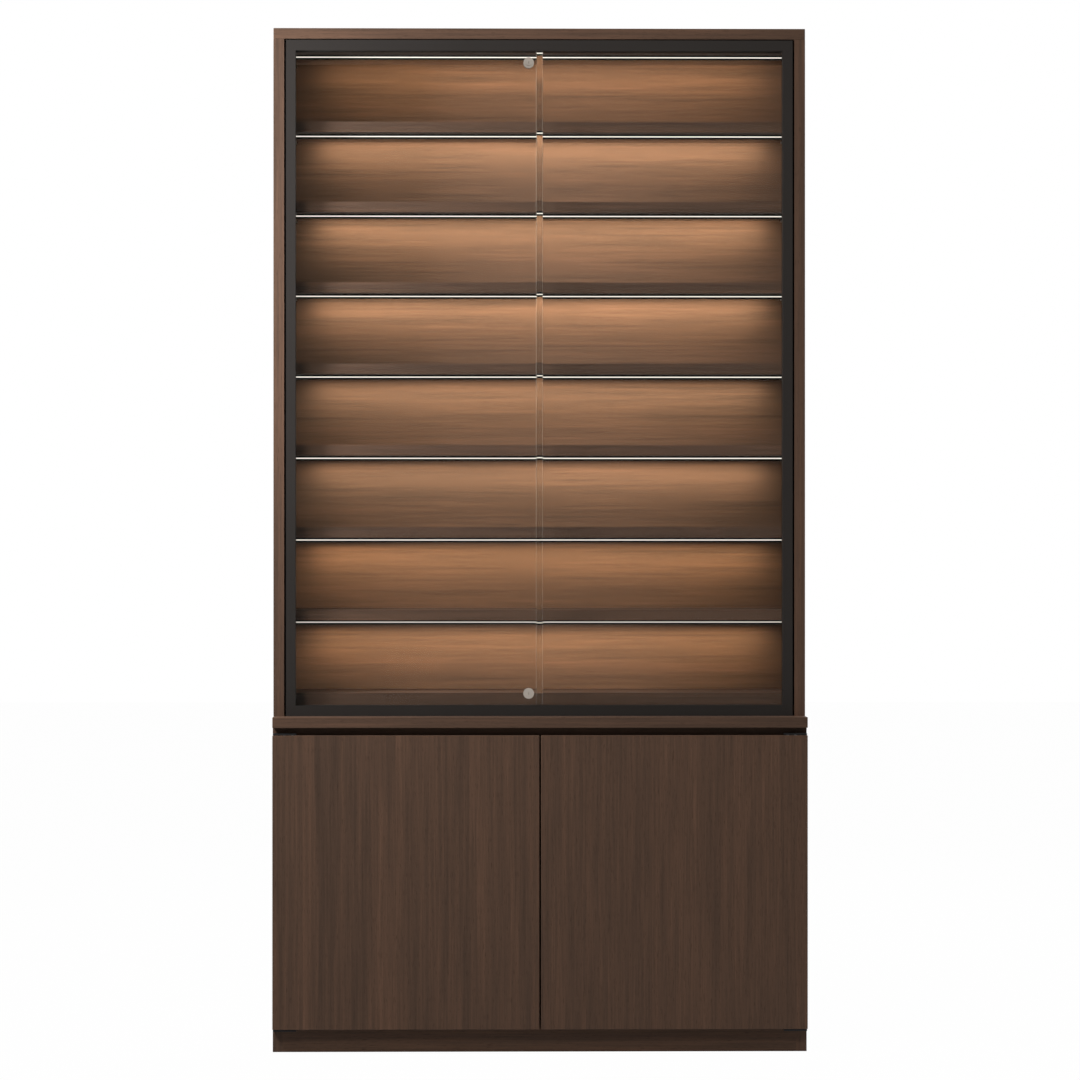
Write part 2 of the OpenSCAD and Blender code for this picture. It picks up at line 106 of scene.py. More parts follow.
class Tree:
    """A node tree with one way to add a node and join its sockets."""

    def __init__(self, tree):
        self.tree = tree

    def node(self, kind, settings=None, inputs=None):
        """A node with its settings made first, then its sockets set or linked."""
        node = self.tree.nodes.new(kind)
        for key, value in (settings or {}).items():
            if key == "stops":
                self._stops(node.color_ramp, value)
            else:
                setattr(node, key, value)
        for key, value in (inputs or {}).items():
            self.join(value, node.inputs[key])
        return node

    @staticmethod
    def _stops(ramp, stops):
        while len(ramp.elements) < len(stops):
            ramp.elements.new(0.5)
        for element, (place, colour) in zip(ramp.elements, stops):
            element.position = place
            element.color = (*colour, 1.0)

    def join(self, value, socket):
        if isinstance(value, Value):
            self.tree.links.new(value.socket, socket)
        elif isinstance(value, bpy.types.NodeSocket):
            self.tree.links.new(value, socket)
        else:
            socket.default_value = value


class Shader(Tree):
    """The nodes of one material or of the world."""

    def __init__(self, name, owners="materials", output="ShaderNodeOutputMaterial"):
        self.owner = getattr(bpy.data, owners).new(name)
        self.owner.use_nodes = True
        super().__init__(self.owner.node_tree)
        self.tree.nodes.clear()
        self.output = self.tree.nodes.new(output)

    def coordinates(self, scale=(1, 1, 1), offset=(0, 0, 0)):
        """Object coordinates, moved and stretched, so that a pattern stays on its piece."""
        source = self.node("ShaderNodeTexCoord").outputs["Object"]
        mapping = self.node(
            "ShaderNodeMapping", None, {"Vector": source, "Location": offset, "Scale": scale}
        )
        return mapping.outputs[0]

    def noise(self, vector, scale=1.0, detail=2.0, roughness=0.5, distortion=0.0):
        node = self.node(
            "ShaderNodeTexNoise",
            None,
            {
                "Vector": vector,
                "Scale": scale,
                "Detail": detail,
                "Roughness": roughness,
                "Distortion": distortion,
            },
        )
        return Value(self, node.outputs["Fac"])

    def ramp(self, value, stops):
        return self.node("ShaderNodeValToRGB", {"stops": stops}, {"Fac": value}).outputs["Color"]

    def mix(self, factor, first, second):
        """A colour between two others."""
        colours = {"Factor": factor, 6: first, 7: second}
        return self.node("ShaderNodeMix", {"data_type": "RGBA"}, colours).outputs[2]

    def bump(self, height, strength, distance):
        return self.node(
            "ShaderNodeBump", None, {"Height": height, "Strength": strength, "Distance": distance}
        ).outputs[0]

    def principled(self, **inputs):
        """The main shader. Keys are its socket names with _ for a space."""
        named = {key.replace("_", " "): value for key, value in inputs.items()}
        return self.node("ShaderNodeBsdfPrincipled", None, named).outputs[0]

    def between(self, share, first, second):
        """The first shader where the share is 0, the second where it is 1."""
        shaders = {0: share, 1: first, 2: second}
        return self.node("ShaderNodeMixShader", None, shaders).outputs[0]

    def surface(self, shader_socket):
        self.join(shader_socket, self.output.inputs["Surface"])
        return self.owner


class Pattern(Tree):
    """A Geometry Nodes tree with named inputs, which repeats one part on given points."""

    def __init__(self, name):
        super().__init__(bpy.data.node_groups.new(name, "GeometryNodeTree"))
        for way in ("INPUT", "OUTPUT"):
            self.tree.interface.new_socket(
                "Geometry", in_out=way, socket_type="NodeSocketGeometry"
            )
        self.start = self.tree.nodes.new("NodeGroupInput")
        self.end = self.tree.nodes.new("NodeGroupOutput")

    def size(self, name, kind="NodeSocketFloat"):
        """A named input of the tree."""
        self.tree.interface.new_socket(name, in_out="INPUT", socket_type=kind)
        socket = self.start.outputs[name]
        return Value(self, socket) if kind == "NodeSocketFloat" else socket

    def vector(self, x=0.0, y=0.0, z=0.0):
        return self.node("ShaderNodeCombineXYZ", None, {0: x, 1: y, 2: z}).outputs[0]

    def block(self, x, y, z):
        return self.node("GeometryNodeMeshCube", None, {"Size": self.vector(x, y, z)}).outputs[0]

    def drum(self, radius, depth, sides):
        """A closed cylinder round Z, with its middle at the origin."""
        return self.node(
            "GeometryNodeMeshCylinder", None, {"Vertices": sides, "Radius": radius, "Depth": depth}
        ).outputs["Mesh"]

    def cone(self, low_radius, top_radius, depth, sides):
        """A closed cone frustum round Z, standing on the origin."""
        return self.node(
            "GeometryNodeMeshCone",
            None,
            {
                "Vertices": sides,
                "Radius Bottom": low_radius,
                "Radius Top": top_radius,
                "Depth": depth,
            },
        ).outputs["Mesh"]

    def moved(self, mesh, x=0.0, y=0.0, z=0.0):
        return self.node(
            "GeometryNodeTransform", None, {"Geometry": mesh, "Translation": self.vector(x, y, z)}
        ).outputs[0]

    def _boolean(self, operation, first, others):
        node = self.node("GeometryNodeMeshBoolean", {"operation": operation}, first)
        for mesh in others:
            self.join(mesh, node.inputs[1])
        return node.outputs[0]

    def cut(self, mesh, tools):
        return self._boolean("DIFFERENCE", {0: mesh}, tools)

    def union(self, *meshes):
        return self._boolean("UNION", None, meshes)

    def repeat(self, part, turned=False):
        """The part on every point, leaned by the Lean input, made real and finished."""
        placed = self.node(
            "GeometryNodeInstanceOnPoints",
            None,
            {
                "Points": self.start.outputs["Geometry"],
                "Instance": part,
                "Rotation": self.size("Lean", "NodeSocketVector"),
            },
        ).outputs[0]
        if turned:
            spin = self.node(
                "FunctionNodeRandomValue", {"data_type": "FLOAT"}, {2: 0.0, 3: math.pi, "Seed": 7}
            ).outputs[1]
            placed = self.node(
                "GeometryNodeRotateInstances",
                None,
                {"Instances": placed, "Rotation": self.vector(z=spin), "Local Space": True},
            ).outputs[0]
        real = self.node("GeometryNodeRealizeInstances", None, {0: placed}).outputs[0]
        finished = self.node(
            "GeometryNodeSetMaterial",
            None,
            {"Geometry": real, "Material": self.size("Finish", "NodeSocketMaterial")},
        ).outputs[0]
        self.join(finished, self.end.inputs[0])
        return self.tree


def mesh_object(name, mesh):
    """An object for the mesh, placed in the scene."""
    thing = bpy.data.objects.new(name, mesh)
    bpy.context.scene.collection.objects.link(thing)
    return thing


def repeated(name, tree, points, body, slot, **sizes):
    """Runs a pattern on the points and leaves one plain mesh that rides on the body."""
    seed = bpy.data.meshes.new(name + "_points")
    seed.from_pydata(points, [], [])
    carrier = mesh_object(name + "_points", seed)
    modifier = carrier.modifiers.new("pattern", "NODES")
    modifier.node_group = tree
    for item in tree.interface.items_tree:
        key = item.name.replace(" ", "_").lower()
        if item.in_out == "INPUT" and key in sizes:
            modifier[item.identifier] = sizes[key]
    bpy.context.view_layer.update()
    view = bpy.context.evaluated_depsgraph_get()
    mesh = bpy.data.meshes.new_from_object(carrier.evaluated_get(view))
    mesh.name = name
    bpy.data.objects.remove(carrier)
    bpy.data.meshes.remove(seed)
    piece = mesh_object(name, mesh)
    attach(piece, body)
    return piece


# ---------- finishes ----------


def scaled(colour, factor):
    return tuple(factor * channel for channel in colour)


def solid(colour):
    return (*colour, 1.0)


def walnut(name, grain, offset):
    """Dark straight-grained walnut veneer under matt lacquer, its grain along one axis."""
    s = Shader(name)
    place = (offset * 1.37, offset * 0.61, offset * 0.83)

    def figure(across, along, detail, roughness, wave=0.0):
        scale = {"x": (along, across, across), "z": (across, across, along)}[grain]
        return s.noise(s.coordinates(scale, place), 1.0, detail, roughness, wave)

    boards = figure(9.0, 0.7, 1.0, 0.5)
    bands = figure(48.0, 1.5, 2.0, 0.5, 0.3)
    streaks = figure(210.0, 4.0, 2.0, 0.6, 0.2)
    fibres = figure(760.0, 16.0, 2.0, 0.6)
    pores = figure(1300.0, 60.0, 1.0, 0.5).above(0.60, 0.74)
    tone = 0.5 + (boards - 0.5) * 0.5 + (bands - 0.5) * 0.62
    tone = tone + (streaks - 0.5) * 0.72 + (fibres - 0.5) * 0.45
    colour = s.ramp(
        tone,
        [
            (0.22, (0.074, 0.047, 0.034)),
            (0.45, (0.099, 0.060, 0.042)),
            (0.60, (0.118, 0.069, 0.047)),
            (0.85, (0.156, 0.088, 0.059)),
        ],
    )
    colour = s.mix(pores * 0.5, colour, (0.030, 0.018, 0.012, 1.0))
    return s.surface(
        s.principled(
            Base_Color=colour,
            Roughness=0.50 + fibres * 0.14 - streaks * 0.08,
            IOR=1.2,
            Normal=s.bump(fibres * 0.6 - pores * 0.7, 0.2, 0.2 * MM),
        )
    )


def powder_coat(name, colour, roughness=0.5):
    """Powder coating with its fine orange peel."""
    s = Shader(name)
    peel = s.noise(s.coordinates(), 900.0, 3.0, 0.6)
    cloud = s.noise(s.coordinates(), 6.0, 2.0)
    return s.surface(
        s.principled(
            Base_Color=s.mix(cloud, solid(scaled(colour, 0.9)), solid(scaled(colour, 1.12))),
            Roughness=roughness + peel * 0.14,
            IOR=1.2,
            Normal=s.bump(peel, 0.25, 0.08 * MM),
        )
    )


def satin_metal(name, colour, roughness=0.3, brushing_scale=(40.0, 40.0, 2600.0)):
    """Satin plated metal with fine brushing."""
    s = Shader(name)
    brushing = s.noise(s.coordinates(brushing_scale), 1.0, 3.0, 0.6)
    smudge = s.noise(s.coordinates(), 90.0, 2.0)
    return s.surface(
        s.principled(
            Base_Color=s.mix(brushing, solid(scaled(colour, 0.88)), solid(colour)),
            Metallic=1.0,
            Roughness=roughness + brushing * 0.12 + smudge * 0.06,
            Normal=s.bump(brushing, 0.12, 0.05 * MM),
        )
    )


def moulded(name, colour, roughness=0.5, grit=600.0):
    """Moulded plastic or rubber with a fine texture."""
    s = Shader(name)
    grain = s.noise(s.coordinates(), grit, 3.0, 0.55)
    cloud = s.noise(s.coordinates(), 14.0, 2.0)
    return s.surface(
        s.principled(
            Base_Color=s.mix(cloud, solid(scaled(colour, 0.92)), solid(scaled(colour, 1.06))),
            Roughness=roughness + grain * 0.16,
            Normal=s.bump(grain, 0.2, 0.06 * MM),
        )
    )


WHITE = (1.0, 1.0, 1.0)
LEAST_GLOSS = 0.003


def see_through(name, tint):
    """Clear sheet: see-through, with a gloss that rises at a glancing angle."""
    s = Shader(name)
    smear = s.noise(s.coordinates((3.0, 3.0, 1.2)), 2.2, 2.0)
    gloss = s.principled(
        Base_Color=(0.92, 0.95, 0.94, 1.0), Metallic=1.0, Roughness=0.02 + smear * 0.03
    )
    clear = s.node("ShaderNodeBsdfTransparent", None, {"Color": solid(tint)}).outputs[0]
    facing = s.node("ShaderNodeLayerWeight", None, {"Blend": 0.5}).outputs["Facing"]
    share = Value(s, facing) ** 5 * 0.8 + LEAST_GLOSS
    return s.surface(s.between(share, clear, gloss))


def bending(name, tint, ior):
    """Clear film: each front face bends what is seen through it, and the backs let it pass."""
    s = Shader(name)
    bent = s.node(
        "ShaderNodeBsdfRefraction", None, {"Color": solid(tint), "Roughness": 0.0, "IOR": ior}
    ).outputs[0]
    clear = s.node("ShaderNodeBsdfTransparent", None, {"Color": solid(WHITE)}).outputs[0]
    behind = Value(s, s.node("ShaderNodeNewGeometry").outputs["Backfacing"])
    shadow = Value(s, s.node("ShaderNodeLightPath").outputs["Is Shadow Ray"])
    plain = behind + shadow - behind * shadow
    return s.surface(s.between(plain, bent, clear))


def lit_edge(name, low_z, high_z):
    """A polished pane edge with painted light: an emitted glow, strongest at the top and fading
    down the pane, stands in for light carried down from the bars.
    """
    s = Shader(name)
    height = Value(s, s.node("ShaderNodeSeparateXYZ", None, {0: s.coordinates()}).outputs[2])
    flecks = s.noise(s.coordinates((1.0, 1.0, 14.0)), 2.0, 2.0)
    # Painted glow: the emission rises from the bottom to the top of the edge, with random flecks,
    # and is no lamp.
    glow = s.mix(
        height.above(low_z, high_z) * (0.55 + flecks * 0.6),
        (0.10, 0.075, 0.055, 1.0),
        (0.80, 0.62, 0.44, 1.0),
    )
    return s.surface(
        s.principled(
            Base_Color=(0.30, 0.33, 0.30, 1.0),
            Roughness=0.35,
            IOR=1.1,
            Emission_Color=glow,
            Emission_Strength=0.4,
        )
    )


DIM_BELOW, FULL_ABOVE = 0.6, 1.1


def lit_opal(name, colour, strength):
    """An opal diffuser with the faint dots of the strip behind it, weaker on the low bars."""
    s = Shader(name)
    dots = s.noise(s.coordinates((60.0, 1.0, 1.0)), 1.0, 1.0)
    height = Value(s, s.node("ShaderNodeSeparateXYZ", None, {0: s.coordinates()}).outputs[2])
    full = s.mix(dots, solid(scaled(colour, 0.96)), solid(colour))
    glow = s.mix(height.above(DIM_BELOW, FULL_ABOVE), solid(scaled(colour, 0.45)), full)
    return s.surface(
        s.principled(
            Base_Color=(0.42, 0.40, 0.36, 1.0),
            Roughness=0.35,
            Emission_Color=glow,
            Emission_Strength=strength,
        )
    )


FLAT_BOARDS = (
    ["base_bottom", "base_back", "base_front_rail", "base_rear_rail", "base_shelf", "plinth"]
    + ["ledge", "upper_top", "upper_top_lining", "upper_bottom", "upper_back"]
    + SHELF_NAMES
)
UPRIGHT_BOARDS = (
    "base_side_left",
    "base_side_right",
    "upper_side_left",
    "upper_side_right",
    "base_door_left",
    "base_door_right",
)
FRAME_BARS = ("frame_top_track", "frame_bottom_track", "frame_stile_left", "frame_stile_right")
LOCK_SOLIDS = [f"lock_{part}_{end}" for part in ("body", "plunger") for end in ("top", "bottom")]
CHARCOAL = (0.0285, 0.0252, 0.0233)


def finish_nodes(finish):
    """Gives each carried-over solid its finish."""
    for i, name in enumerate(FLAT_BOARDS):
        dress(walnut("walnut_" + name, "x", i + 1.0), [name])
    for i, name in enumerate(UPRIGHT_BOARDS):
        dress(walnut("walnut_" + name, "z", i + 40.0), [name])
    bars = range(1, COMPARTMENTS + 1)
    dress(powder_coat("charcoal_coat", CHARCOAL), FRAME_BARS)
    dress(powder_coat("bar_coat", (0.018, 0.017, 0.016), 0.42), [f"led_profile_{i}" for i in bars])
    dress(lit_opal("opal_diffuser", (1.0, 0.93, 0.83), 1.0), [f"led_diffuser_{i}" for i in bars])
    dress(see_through("pane_glass", (0.98, 0.983, 0.978)), ["glass_left", "glass_right"])
    dress(finish["nickel"], LOCK_SOLIDS)
    dress(finish["zinc"], ["shelf_pins"])
    dress(finish["black_steel"], ["hinge_plates", "hinge_leaves_left", "hinge_leaves_right"])
    dress(moulded("natural_nylon", (0.62, 0.60, 0.54), 0.42), ["glides_left", "glides_right"])
    dress(finish["driver_case"], ["led_driver"])
    dress(finish["black_plastic"], ["cable_grommet", "wire_duct"])
    dress(moulded("strip_board", (0.72, 0.70, 0.62), 0.4), ["led_strips"])


def dress(material, names):
    """Gives the named solids one material."""
    for name in names:
        slots = NODES[name].data.materials
        slots.clear()
        slots.append(material)


def make_finishes():
    """The finishes that the solids share with the added small parts."""
    return {
        "nickel": satin_metal("satin_nickel", (0.44, 0.39, 0.34), 0.36),
        "zinc": satin_metal("zinc_plate", (0.62, 0.62, 0.63), 0.28, (300.0, 300.0, 300.0)),
        "black_steel": powder_coat("black_steel", (0.02, 0.02, 0.021), 0.35),
        "black_plastic": moulded("black_plastic", (0.022, 0.022, 0.023), 0.46),
        "driver_case": moulded("driver_case", (0.55, 0.545, 0.52), 0.5),
        "clear_rubber": moulded("clear_rubber", (0.42, 0.42, 0.40), 0.32, 200.0),
        "trim_walnut": walnut("trim_walnut", "x", 5.3),
    }


# ---------- small parts ----------

UP, DOWN = (0.0, 0.0, 0.0), (math.pi, 0.0, 0.0)
REAR, FRONT = (-math.pi / 2, 0.0, 0.0), (math.pi / 2, 0.0, 0.0)
TO_RIGHT, TO_LEFT = (0.0, math.pi / 2, 0.0), (0.0, -math.pi / 2, 0.0)
SIDES, BORE_SIDES = 28, 20


def screw_pattern():
    """A pan head with a cross recess, standing on its point with its axis along Z."""
    p = Pattern("screw_head")
    radius, height, blade = p.size("Radius"), p.size("Height"), p.size("Blade")
    rim = height * 0.55
    head = p.cone(radius, radius, rim, SIDES)
    crown = p.moved(p.cone(radius, radius * 0.72, height - rim, SIDES), z=rim)
    blades = [
        p.moved(p.block(radius * 1.15, blade, height), z=height * 0.9),
        p.moved(p.block(blade, radius * 1.15, height), z=height * 0.9),
    ]
    return p.repeat(p.cut(p.union(head, crown), blades), turned=True)


def bumper_pattern():
    """A low rubber dome on a round foot."""
    p = Pattern("bumper")
    radius, height = p.size("Radius"), p.size("Height")
    foot = p.cone(radius, radius * 0.94, height * 0.45, SIDES)
    dome = p.moved(p.cone(radius * 0.94, radius * 0.62, height * 0.55, SIDES), z=height * 0.45)
    return p.repeat(p.union(foot, dome))


def sleeve_pattern():
    """The flange of a shelf pin socket, with its bore."""
    p = Pattern("pin_sleeve")
    radius, bore, height = p.size("Radius"), p.size("Bore"), p.size("Height")
    flange = p.cone(radius, radius * 0.92, height, SIDES)
    return p.repeat(p.cut(flange, [p.drum(bore, height * 4.0, BORE_SIDES)]))


def rib_pattern():
    """A straight rib with its foot on the point and its length along its own Y."""
    p = Pattern("rib")
    width, length, height = p.size("Width"), p.size("Length"), p.size("Height")
    return p.repeat(p.moved(p.block(width, length, height), z=height * 0.5))


BACK_SCREW_X = (-0.43, -0.215, 0.0, 0.215, 0.43)
EAR_T = 3 * MM
EAR_INSET = 6 * MM
EAR_SPAN = 198 * MM
LEAF_SCREW_INSETS = (7 * MM, 22 * MM)


def make_screws(finish):
    """The screws of the back panel, the driver's ears and the hinge leaves."""
    pan = screw_pattern()
    back_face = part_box("upper_back")[1].y
    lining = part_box("upper_top_lining")
    floor_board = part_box("upper_bottom")
    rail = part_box("base_rear_rail")
    low_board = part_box("base_bottom")
    rows = [sum(box[i].z for i in (0, 1)) / 2 for box in (lining, floor_board, rail, low_board)]
    places = [(x, back_face, z) for z in rows for x in BACK_SCREW_X]
    repeated(
        "back_screws", pan, places, "cabinet", "steel",
        radius=3.6 * MM, height=2.2 * MM, blade=1.0 * MM, lean=REAR, finish=finish["zinc"],
    )
    driver_low, driver_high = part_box("led_driver")
    ear_face = rail[0].y - EAR_T
    ear_z = (driver_low.z + driver_high.z) / 2
    ears = [(driver_high.x - inset, ear_face, ear_z) for inset in (EAR_INSET, EAR_SPAN)]
    repeated(
        "driver_screws", pan, ears, "cabinet", "steel",
        radius=3.4 * MM, height=2.0 * MM, blade=0.9 * MM, lean=FRONT, finish=finish["zinc"],
    )
    for side in ("left", "right"):
        low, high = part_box("hinge_leaves_" + side)
        inner = high.x if side == "left" else low.x
        step = -1 if side == "left" else 1
        middle = (low.y + high.y) / 2
        for end, z, lean in (("top", high.z, UP), ("bottom", low.z, DOWN)):
            places = [(inner + step * inset, middle, z) for inset in LEAF_SCREW_INSETS]
            repeated(
                f"leaf_screws_{side}_{end}", pan, places, side + "_door", "steel",
                radius=3.2 * MM, height=0.35 * MM, blade=0.9 * MM, lean=lean,
                finish=finish["zinc"],
            )


BUMPER_X = (-24 * MM, 24 * MM)
BUMPER_RISE = 18 * MM


def make_bumpers(finish):
    """A rubber bumper behind each free corner of the doors."""
    rail_low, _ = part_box("base_front_rail")
    board_low, board_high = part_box("base_bottom")
    places = [
        (x, rail_low.y, z)
        for x in BUMPER_X
        for z in (rail_low.z + BUMPER_RISE, (board_low.z + board_high.z) / 2)
    ]
    repeated(
        "door_bumpers", bumper_pattern(), places, "cabinet", "nylon",
        radius=4.5 * MM, height=1.6 * MM, lean=FRONT, finish=finish["clear_rubber"],
    )


PIN_PITCH = 32 * MM
PIN_RADIUS = 2.5 * MM
PIN_SETBACK = 30 * MM
SPARE_PLACES = (-4, -3, -2, -1, 1, 2, 3, 4)


def make_pin_sleeves(finish):
    """Two rows of spare shelf pin sockets on each inner side of the cupboard."""
    shelf_low, shelf_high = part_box("base_shelf")
    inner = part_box("base_side_right")[0].x
    pin_z = shelf_low.z - PIN_RADIUS
    columns = (shelf_low.y + PIN_SETBACK, shelf_high.y - PIN_SETBACK)
    for side, x, lean in (("left", -inner, TO_RIGHT), ("right", inner, TO_LEFT)):
        places = [(x, y, pin_z + k * PIN_PITCH) for y in columns for k in SPARE_PLACES]
        repeated(
            "pin_sleeves_" + side, sleeve_pattern(), places, "cabinet", "steel",
            radius=3.8 * MM, bore=PIN_RADIUS, height=0.4 * MM, lean=lean, finish=finish["zinc"],
        )


RIB_START = 22 * MM
RIB_PITCH = 4 * MM
RIBS = 24


def make_driver_ribs(finish):
    """The cooling ribs over the front of the driver's case."""
    low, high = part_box("led_driver")
    middle = (low.z + high.z) / 2
    start = high.x - EAR_SPAN + RIB_START
    places = [(start + i * RIB_PITCH, low.y, middle) for i in range(RIBS)]
    repeated(
        "driver_ribs", rib_pattern(), places, "cabinet", "driver_case",
        width=1.4 * MM, length=26 * MM, height=1.0 * MM, lean=FRONT,
        finish=finish["driver_case"],
    )


TABS = 9
TAB_SETBACK = 2.6 * MM


def make_duct_tabs(finish):
    """The snap tabs down the inner face of the wire duct."""
    low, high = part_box("wire_duct")
    pitch = (high.z - low.z) / TABS
    places = [(high.x, high.y - TAB_SETBACK, low.z + (i + 0.5) * pitch) for i in range(TABS)]
    repeated(
        "duct_tabs", rib_pattern(), places, "cabinet", "black_plastic",
        width=14 * MM, length=2.4 * MM, height=0.8 * MM, lean=TO_RIGHT,
        finish=finish["black_plastic"],
    )


def prism(bm, outline, start, end, axis):
    """Adds a bar whose cross-section is the outline, in the other two axes in order."""

    def corner(point, along):
        first, second = point
        return {
            "x": (along, first, second),
            "y": (first, along, second),
            "z": (first, second, along),
        }[axis]

    rings = [[bm.verts.new(corner(point, along)) for point in outline] for along in (start, end)]
    count = len(outline)
    for i in range(count):
        j = (i + 1) % count
        bm.faces.new((rings[0][i], rings[0][j], rings[1][j], rings[1][i]))
    bm.faces.new(rings[0][::-1])
    bm.faces.new(rings[1])
    bmesh.ops.recalc_face_normals(bm, faces=bm.faces)


def built(name, bm, body, material):
    """Makes a piece of the finished mesh and lets it ride on the body."""
    mesh = bpy.data.meshes.new(name)
    bm.to_mesh(mesh)
    bm.free()
    mesh.materials.append(material)
    piece = mesh_object(name, mesh)
    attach(piece, body)
    return piece


GUARD_T = 0.45 * MM
GUARD_WIDTH = 10.9 * MM
GUARD_FIT = 0.03 * MM
GUARD_NOSE = 0.2 * MM
GUARD_END_GAP = 1 * MM
GUARD_BEND = 6.0


def make_edge_guard():
    """The clear strip over the front pane's edge, as wide as the panes' overlap."""
    low_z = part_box("frame_bottom_track")[1].z + GUARD_END_GAP
    high_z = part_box("frame_top_track")[0].z - GUARD_END_GAP
    low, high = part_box("glass_left")
    open_x, nose_x = high.x - GUARD_WIDTH, high.x + GUARD_NOSE
    front = low.y - GUARD_FIT
    outline = [
        (open_x, front - GUARD_T),
        (nose_x + GUARD_T, front - GUARD_T),
        (nose_x + GUARD_T, high.y),
        (nose_x, high.y),
        (nose_x, front),
        (open_x, front),
    ]
    bm = bmesh.new()
    prism(bm, outline, low_z, high_z, "z")
    clear = bending("clear_guard", (0.985, 0.985, 0.98), GUARD_BEND)
    built("edge_guard", bm, "left_pane", clear)


EDGE_SKIN = 0.15 * MM
EDGE_BEVEL = 0.6 * MM


def make_pane_edges():
    """The ground and polished upright edges of the two panes, which carry a painted glow."""
    low_z, high_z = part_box("glass_left")[0].z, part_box("glass_left")[1].z
    # lit holds the painted glow of the edges.
    lit = lit_edge("lit_edge", low_z, high_z)
    for side in ("left", "right"):
        low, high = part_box("glass_" + side)
        inner, outward = (high.x, 1) if side == "left" else (low.x, -1)
        outline = [
            (inner, low.y + EDGE_BEVEL),
            (inner + outward * EDGE_SKIN, low.y + 2 * EDGE_BEVEL),
            (inner + outward * EDGE_SKIN, high.y - 2 * EDGE_BEVEL),
            (inner, high.y - EDGE_BEVEL),
        ]
        bm = bmesh.new()
        prism(bm, outline, low.z + EDGE_BEVEL, high.z - EDGE_BEVEL, "z")
        built("pane_edge_" + side, bm, side + "_pane", lit)


KEYWAY_LONG, KEYWAY_WIDE = 4.0 * MM, 0.7 * MM
KEYWAY_SKIN = 0.05 * MM


def make_keyway_shades(finish):
    """A black skin in the shape of a key slot on the face of each push lock: painted shade
    standing for the shade inside the slot, which is not cut.
    """
    for end in ("top", "bottom"):
        low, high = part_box("lock_plunger_" + end)
        middle = (low + high) / 2
        half_long, half_wide = KEYWAY_LONG / 2, KEYWAY_WIDE / 2
        arc = [math.pi * k / 8 for k in range(9)]
        top = [(half_wide * math.cos(a), half_long + half_wide * math.sin(a)) for a in arc]
        outline = [(middle.x + x, middle.z + z) for x, z in top]
        outline += [(middle.x - x, middle.z - z) for x, z in top]
        # Painted shade: the slot is a thin black skin on the plunger face, not a hole.
        bm = bmesh.new()
        prism(bm, outline, low.y - KEYWAY_SKIN, low.y, "y")
        body = end + "_lock_plunger"
        built("keyway_" + end, bm, body, finish["black_plastic"])


LIP_T = 3 * MM
LIP_H = 10 * MM


def make_floor_lip(finish):
    """A walnut strip under the display floor's front edge, which hides the gap to the frame."""
    low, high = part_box("upper_bottom")
    bm = bmesh.new()
    outline = [
        (low.y, low.z - LIP_H),
        (low.y + LIP_T, low.z - LIP_H),
        (low.y + LIP_T, low.z),
        (low.y, low.z),
    ]
    prism(bm, outline, low.x, high.x, "x")
    built("floor_lip", bm, "cabinet", finish["trim_walnut"])


# ---------- studio ----------

FRAME_SIDE = 1080
FOCAL_PX = 3751
SENSOR = 36.0
CAMERA_PLACE = (-0.205, CASE_LOW.y - 7.0, 0.958)
CAMERA_YAW = 0.0136
SHIFT_PX = 58.5


def make_camera():
    """A long lens far in front of the case, level with its middle and a little to the left."""
    data = bpy.data.cameras.new("camera")
    data.sensor_width = SENSOR
    data.lens = SENSOR * FOCAL_PX / FRAME_SIDE
    data.shift_x = SHIFT_PX / FRAME_SIDE
    camera = bpy.data.objects.new("camera", data)
    camera.location = CAMERA_PLACE
    camera.rotation_euler = (math.pi / 2, 0.0, -CAMERA_YAW)
    bpy.context.scene.collection.objects.link(camera)
    bpy.context.scene.camera = camera


def background_share(s):
    """1 for what the camera, gloss or glass sees of the background, else 0."""
    path = s.node("ShaderNodeLightPath").outputs
    rays = ("Is Camera Ray", "Is Glossy Ray", "Is Transmission Ray")
    seen = sum(Value(s, path[ray]) for ray in rays)
    return Value(s, s.node("ShaderNodeClamp", None, {0: seen}).outputs[0])


FLOOR_GREY = (0.6, 0.6, 0.6)
FLOOR_SIDE = 30.0
FLOOR_SHADOW = 0.012


def make_floor():
    """A pale floor that turns white to the camera but keeps a trace of the shadow."""
    bpy.ops.mesh.primitive_plane_add(size=FLOOR_SIDE)
    floor = bpy.context.object
    floor.name = "floor"
    s = Shader("floor")
    plain = s.node("ShaderNodeBsdfDiffuse", None, {"Color": solid(FLOOR_GREY)}).outputs[0]
    white = s.node("ShaderNodeEmission", None, {"Color": solid(WHITE), "Strength": 1.0}).outputs[0]
    share = background_share(s) * (1.0 - FLOOR_SHADOW)
    floor.data.materials.append(s.surface(s.between(share, plain, white)))


WORLD_LEVEL = 0.03


def make_world():
    """Even studio air: white where it is seen or mirrored, low as a light."""
    s = Shader("studio", "worlds", "ShaderNodeOutputWorld")
    level = WORLD_LEVEL + background_share(s) * (1.0 - WORLD_LEVEL)
    air = s.node("ShaderNodeBackground", None, {"Color": solid(WHITE), "Strength": level})
    bpy.context.scene.world = s.surface(air.outputs[0])


def area_lamp(name, place, target, width, height, power, colour):
    """A rectangular lamp aimed at the target, which isn't itself seen or mirrored."""
    data = bpy.data.lights.new(name, "AREA")
    data.shape = "RECTANGLE"
    data.size, data.size_y = width, height
    data.energy = power
    data.color = colour
    lamp = bpy.data.objects.new(name, data)
    lamp.location = place
    lamp.rotation_mode = "QUATERNION"
    lamp.rotation_quaternion = (Vector(target) - Vector(place)).to_track_quat("-Z", "Y")
    lamp.visible_camera = False
    lamp.visible_glossy = False
    lamp.visible_transmission = False
    bpy.context.scene.collection.objects.link(lamp)
    return lamp


UPWARD, REARWARD = (0.0, 0.0, 1.0), (0.0, 1.0, 0.0)
LAMP_STRIP = 4 * MM

